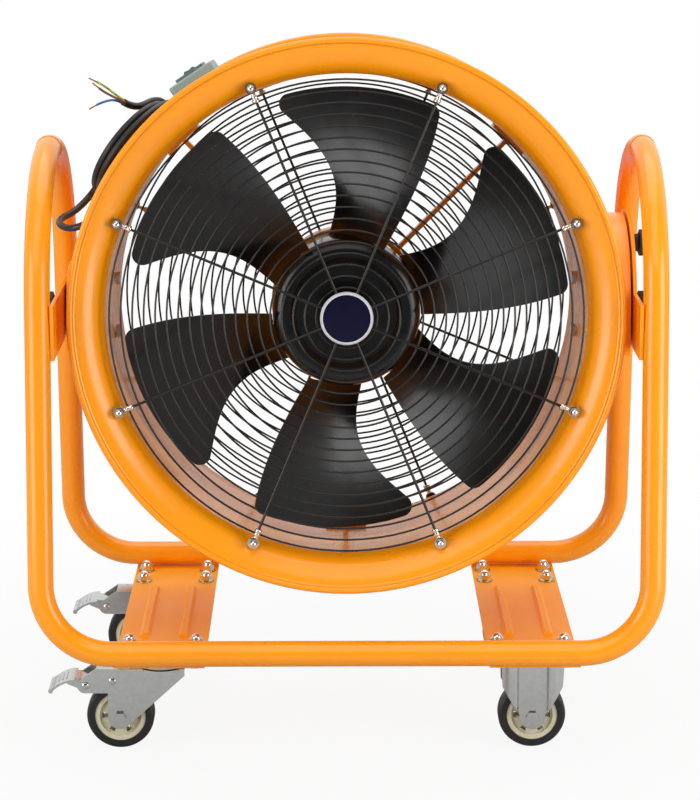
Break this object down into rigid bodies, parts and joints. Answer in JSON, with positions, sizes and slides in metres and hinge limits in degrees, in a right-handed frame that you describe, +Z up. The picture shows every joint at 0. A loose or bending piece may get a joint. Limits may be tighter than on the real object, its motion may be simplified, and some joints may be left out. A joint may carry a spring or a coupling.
{
  "type": "portable drum fan",
  "caption": "Portable drum blower fan with wire grilles, tilting on a wheeled tubular frame, with a control box and a coiled stripped cable.",
  "frame": {"origin": "on the floor under the middle of the frame", "axes": "+X to the right of someone facing the outlet grille, +Y away from them, +Z up"},
  "size_m": [0.7208, 0.438, 0.7864],
  "materials": {
    "orange_paint": "gloss",
    "black_paint": "gloss",
    "zinc": "satin",
    "chrome": "polished",
    "badge": "gloss",
    "motor_paint": "satin",
    "winding": "matt",
    "grey_plastic": "satin",
    "switch_plastic": "gloss",
    "knob_plastic": "satin",
    "cream_plastic": "satin",
    "tyre_rubber": "matt",
    "cable_rubber": "satin"
  },
  "bodies": {
    "frame": {"frame_front_tube": "orange_paint", "frame_rear_tube": "orange_paint", "left_side_plate": "orange_paint", "right_quadrant_plate": "orange_paint", "left_base_plate": "orange_paint", "right_base_plate": "orange_paint", "caster_bolts": "zinc", "base_plate_cap_nuts": "chrome", "fixed_forks": "zinc", "fixed_axles": "zinc", "swivel_plates": "zinc"},
    "drum": {"drum_shell": "orange_paint", "front_grille": "black_paint", "rear_grille": "black_paint", "grille_studs": "zinc", "grille_cap_nuts": "chrome", "badge_disc": "badge", "left_drum_bracket": "orange_paint", "right_drum_bracket": "orange_paint", "drum_bracket_bolts": "zinc", "drum_pivot_studs": "zinc", "pivot_washers": "knob_plastic", "motor_housing": "motor_paint", "motor_front_cover": "motor_paint", "motor_rear_cover": "motor_paint", "motor_bearings": "chrome", "motor_stator": "winding", "motor_mount": "orange_paint", "motor_mount_bolts": "zinc", "control_box_base": "grey_plastic", "control_box_lid": "grey_plastic", "control_box_screws": "zinc", "switch_plate": "switch_plastic", "run_capacitor": "switch_plastic", "cable_gland": "knob_plastic", "power_cable_lead": "cable_rubber", "power_cable_coil": "cable_rubber", "power_cable_tail": "cable_rubber", "power_cable_cores": "cable_rubber"},
    "impeller": {"fan_blades": "black_paint", "fan_hub": "black_paint", "motor_rotor_shaft": "zinc", "hub_nut": "zinc"},
    "front_swivel": {"front_swivel_fork": "zinc"},
    "front_pedal": {"front_brake_pedal": "zinc"},
    "front_left_wheel": {"front_left_wheel_core": "cream_plastic", "front_left_wheel_tyre": "tyre_rubber"},
    "front_right_wheel": {"front_right_wheel_core": "cream_plastic", "front_right_wheel_tyre": "tyre_rubber"},
    "rear_swivel": {"rear_swivel_fork": "zinc"},
    "rear_pedal": {"rear_brake_pedal": "zinc"},
    "rear_left_wheel": {"rear_left_wheel_core": "cream_plastic", "rear_left_wheel_tyre": "tyre_rubber"},
    "rear_right_wheel": {"rear_right_wheel_core": "cream_plastic", "rear_right_wheel_tyre": "tyre_rubber"},
    "left_pivot_knob": {"left_pivot_knob": "knob_plastic"},
    "right_pivot_knob": {"right_pivot_knob": "knob_plastic"},
    "tilt_lock_knob": {"tilt_lock_knob": "knob_plastic"},
    "rocker": {"switch_rocker": "switch_plastic"}
  },
  "joints": [
    {"name": "drum_tilt", "type": "hinge", "parent": "frame", "child": "drum", "pos_m": [0, 0, 0.47291], "axis": [1, 0, 0], "range_deg": [-41, 49]},
    {"name": "impeller_spin", "type": "hinge", "parent": "drum", "child": "impeller", "pos_m": [0, 0, 0.47291], "axis": [0, 0.9976, -0.0698], "continuous": true},
    {"name": "front_swivel", "type": "hinge", "parent": "frame", "child": "front_swivel", "pos_m": [-0.206, -0.151, 0.094], "axis": [0, 0, 1], "continuous": true},
    {"name": "front_brake", "type": "hinge", "parent": "front_swivel", "child": "front_pedal", "pos_m": [-0.29, -0.151, 0.075], "axis": [0, 1, 0], "range_deg": [-8, 2]},
    {"name": "front_left_roll", "type": "hinge", "parent": "front_swivel", "child": "front_left_wheel", "pos_m": [-0.252, -0.151, 0.0375], "axis": [0, 1, 0], "continuous": true},
    {"name": "front_right_roll", "type": "hinge", "parent": "frame", "child": "front_right_wheel", "pos_m": [0.206, -0.151, 0.0375], "axis": [0, 1, 0], "continuous": true},
    {"name": "rear_swivel", "type": "hinge", "parent": "frame", "child": "rear_swivel", "pos_m": [-0.206, 0.151, 0.094], "axis": [0, 0, 1], "continuous": true},
    {"name": "rear_brake", "type": "hinge", "parent": "rear_swivel", "child": "rear_pedal", "pos_m": [-0.29, 0.151, 0.075], "axis": [0, 1, 0], "range_deg": [-8, 2]},
    {"name": "rear_left_roll", "type": "hinge", "parent": "rear_swivel", "child": "rear_left_wheel", "pos_m": [-0.252, 0.151, 0.0375], "axis": [0, 1, 0], "continuous": true},
    {"name": "rear_right_roll", "type": "hinge", "parent": "frame", "child": "rear_right_wheel", "pos_m": [0.206, 0.151, 0.0375], "axis": [0, 1, 0], "continuous": true},
    {"name": "left_pivot_knob_turn", "type": "hinge", "parent": "drum", "child": "left_pivot_knob", "pos_m": [-0.345, 0, 0.47291], "axis": [-1, 0, 0], "range_deg": [0, 270]},
    {"name": "right_pivot_knob_turn", "type": "hinge", "parent": "drum", "child": "right_pivot_knob", "pos_m": [0.345, 0, 0.47291], "axis": [1, 0, 0], "range_deg": [0, 270]},
    {"name": "tilt_lock_knob_turn", "type": "hinge", "parent": "drum", "child": "tilt_lock_knob", "pos_m": [0.345, 0.00487, 0.54261], "axis": [1, 0, 0], "range_deg": [0, 270]},
    {"name": "rocker_tip", "type": "hinge", "parent": "drum", "child": "rocker", "pos_m": [-0.17503, 0.05302, 0.72932], "axis": [0, 0.9976, -0.0698], "range_deg": [-12, 12]}
  ]
}
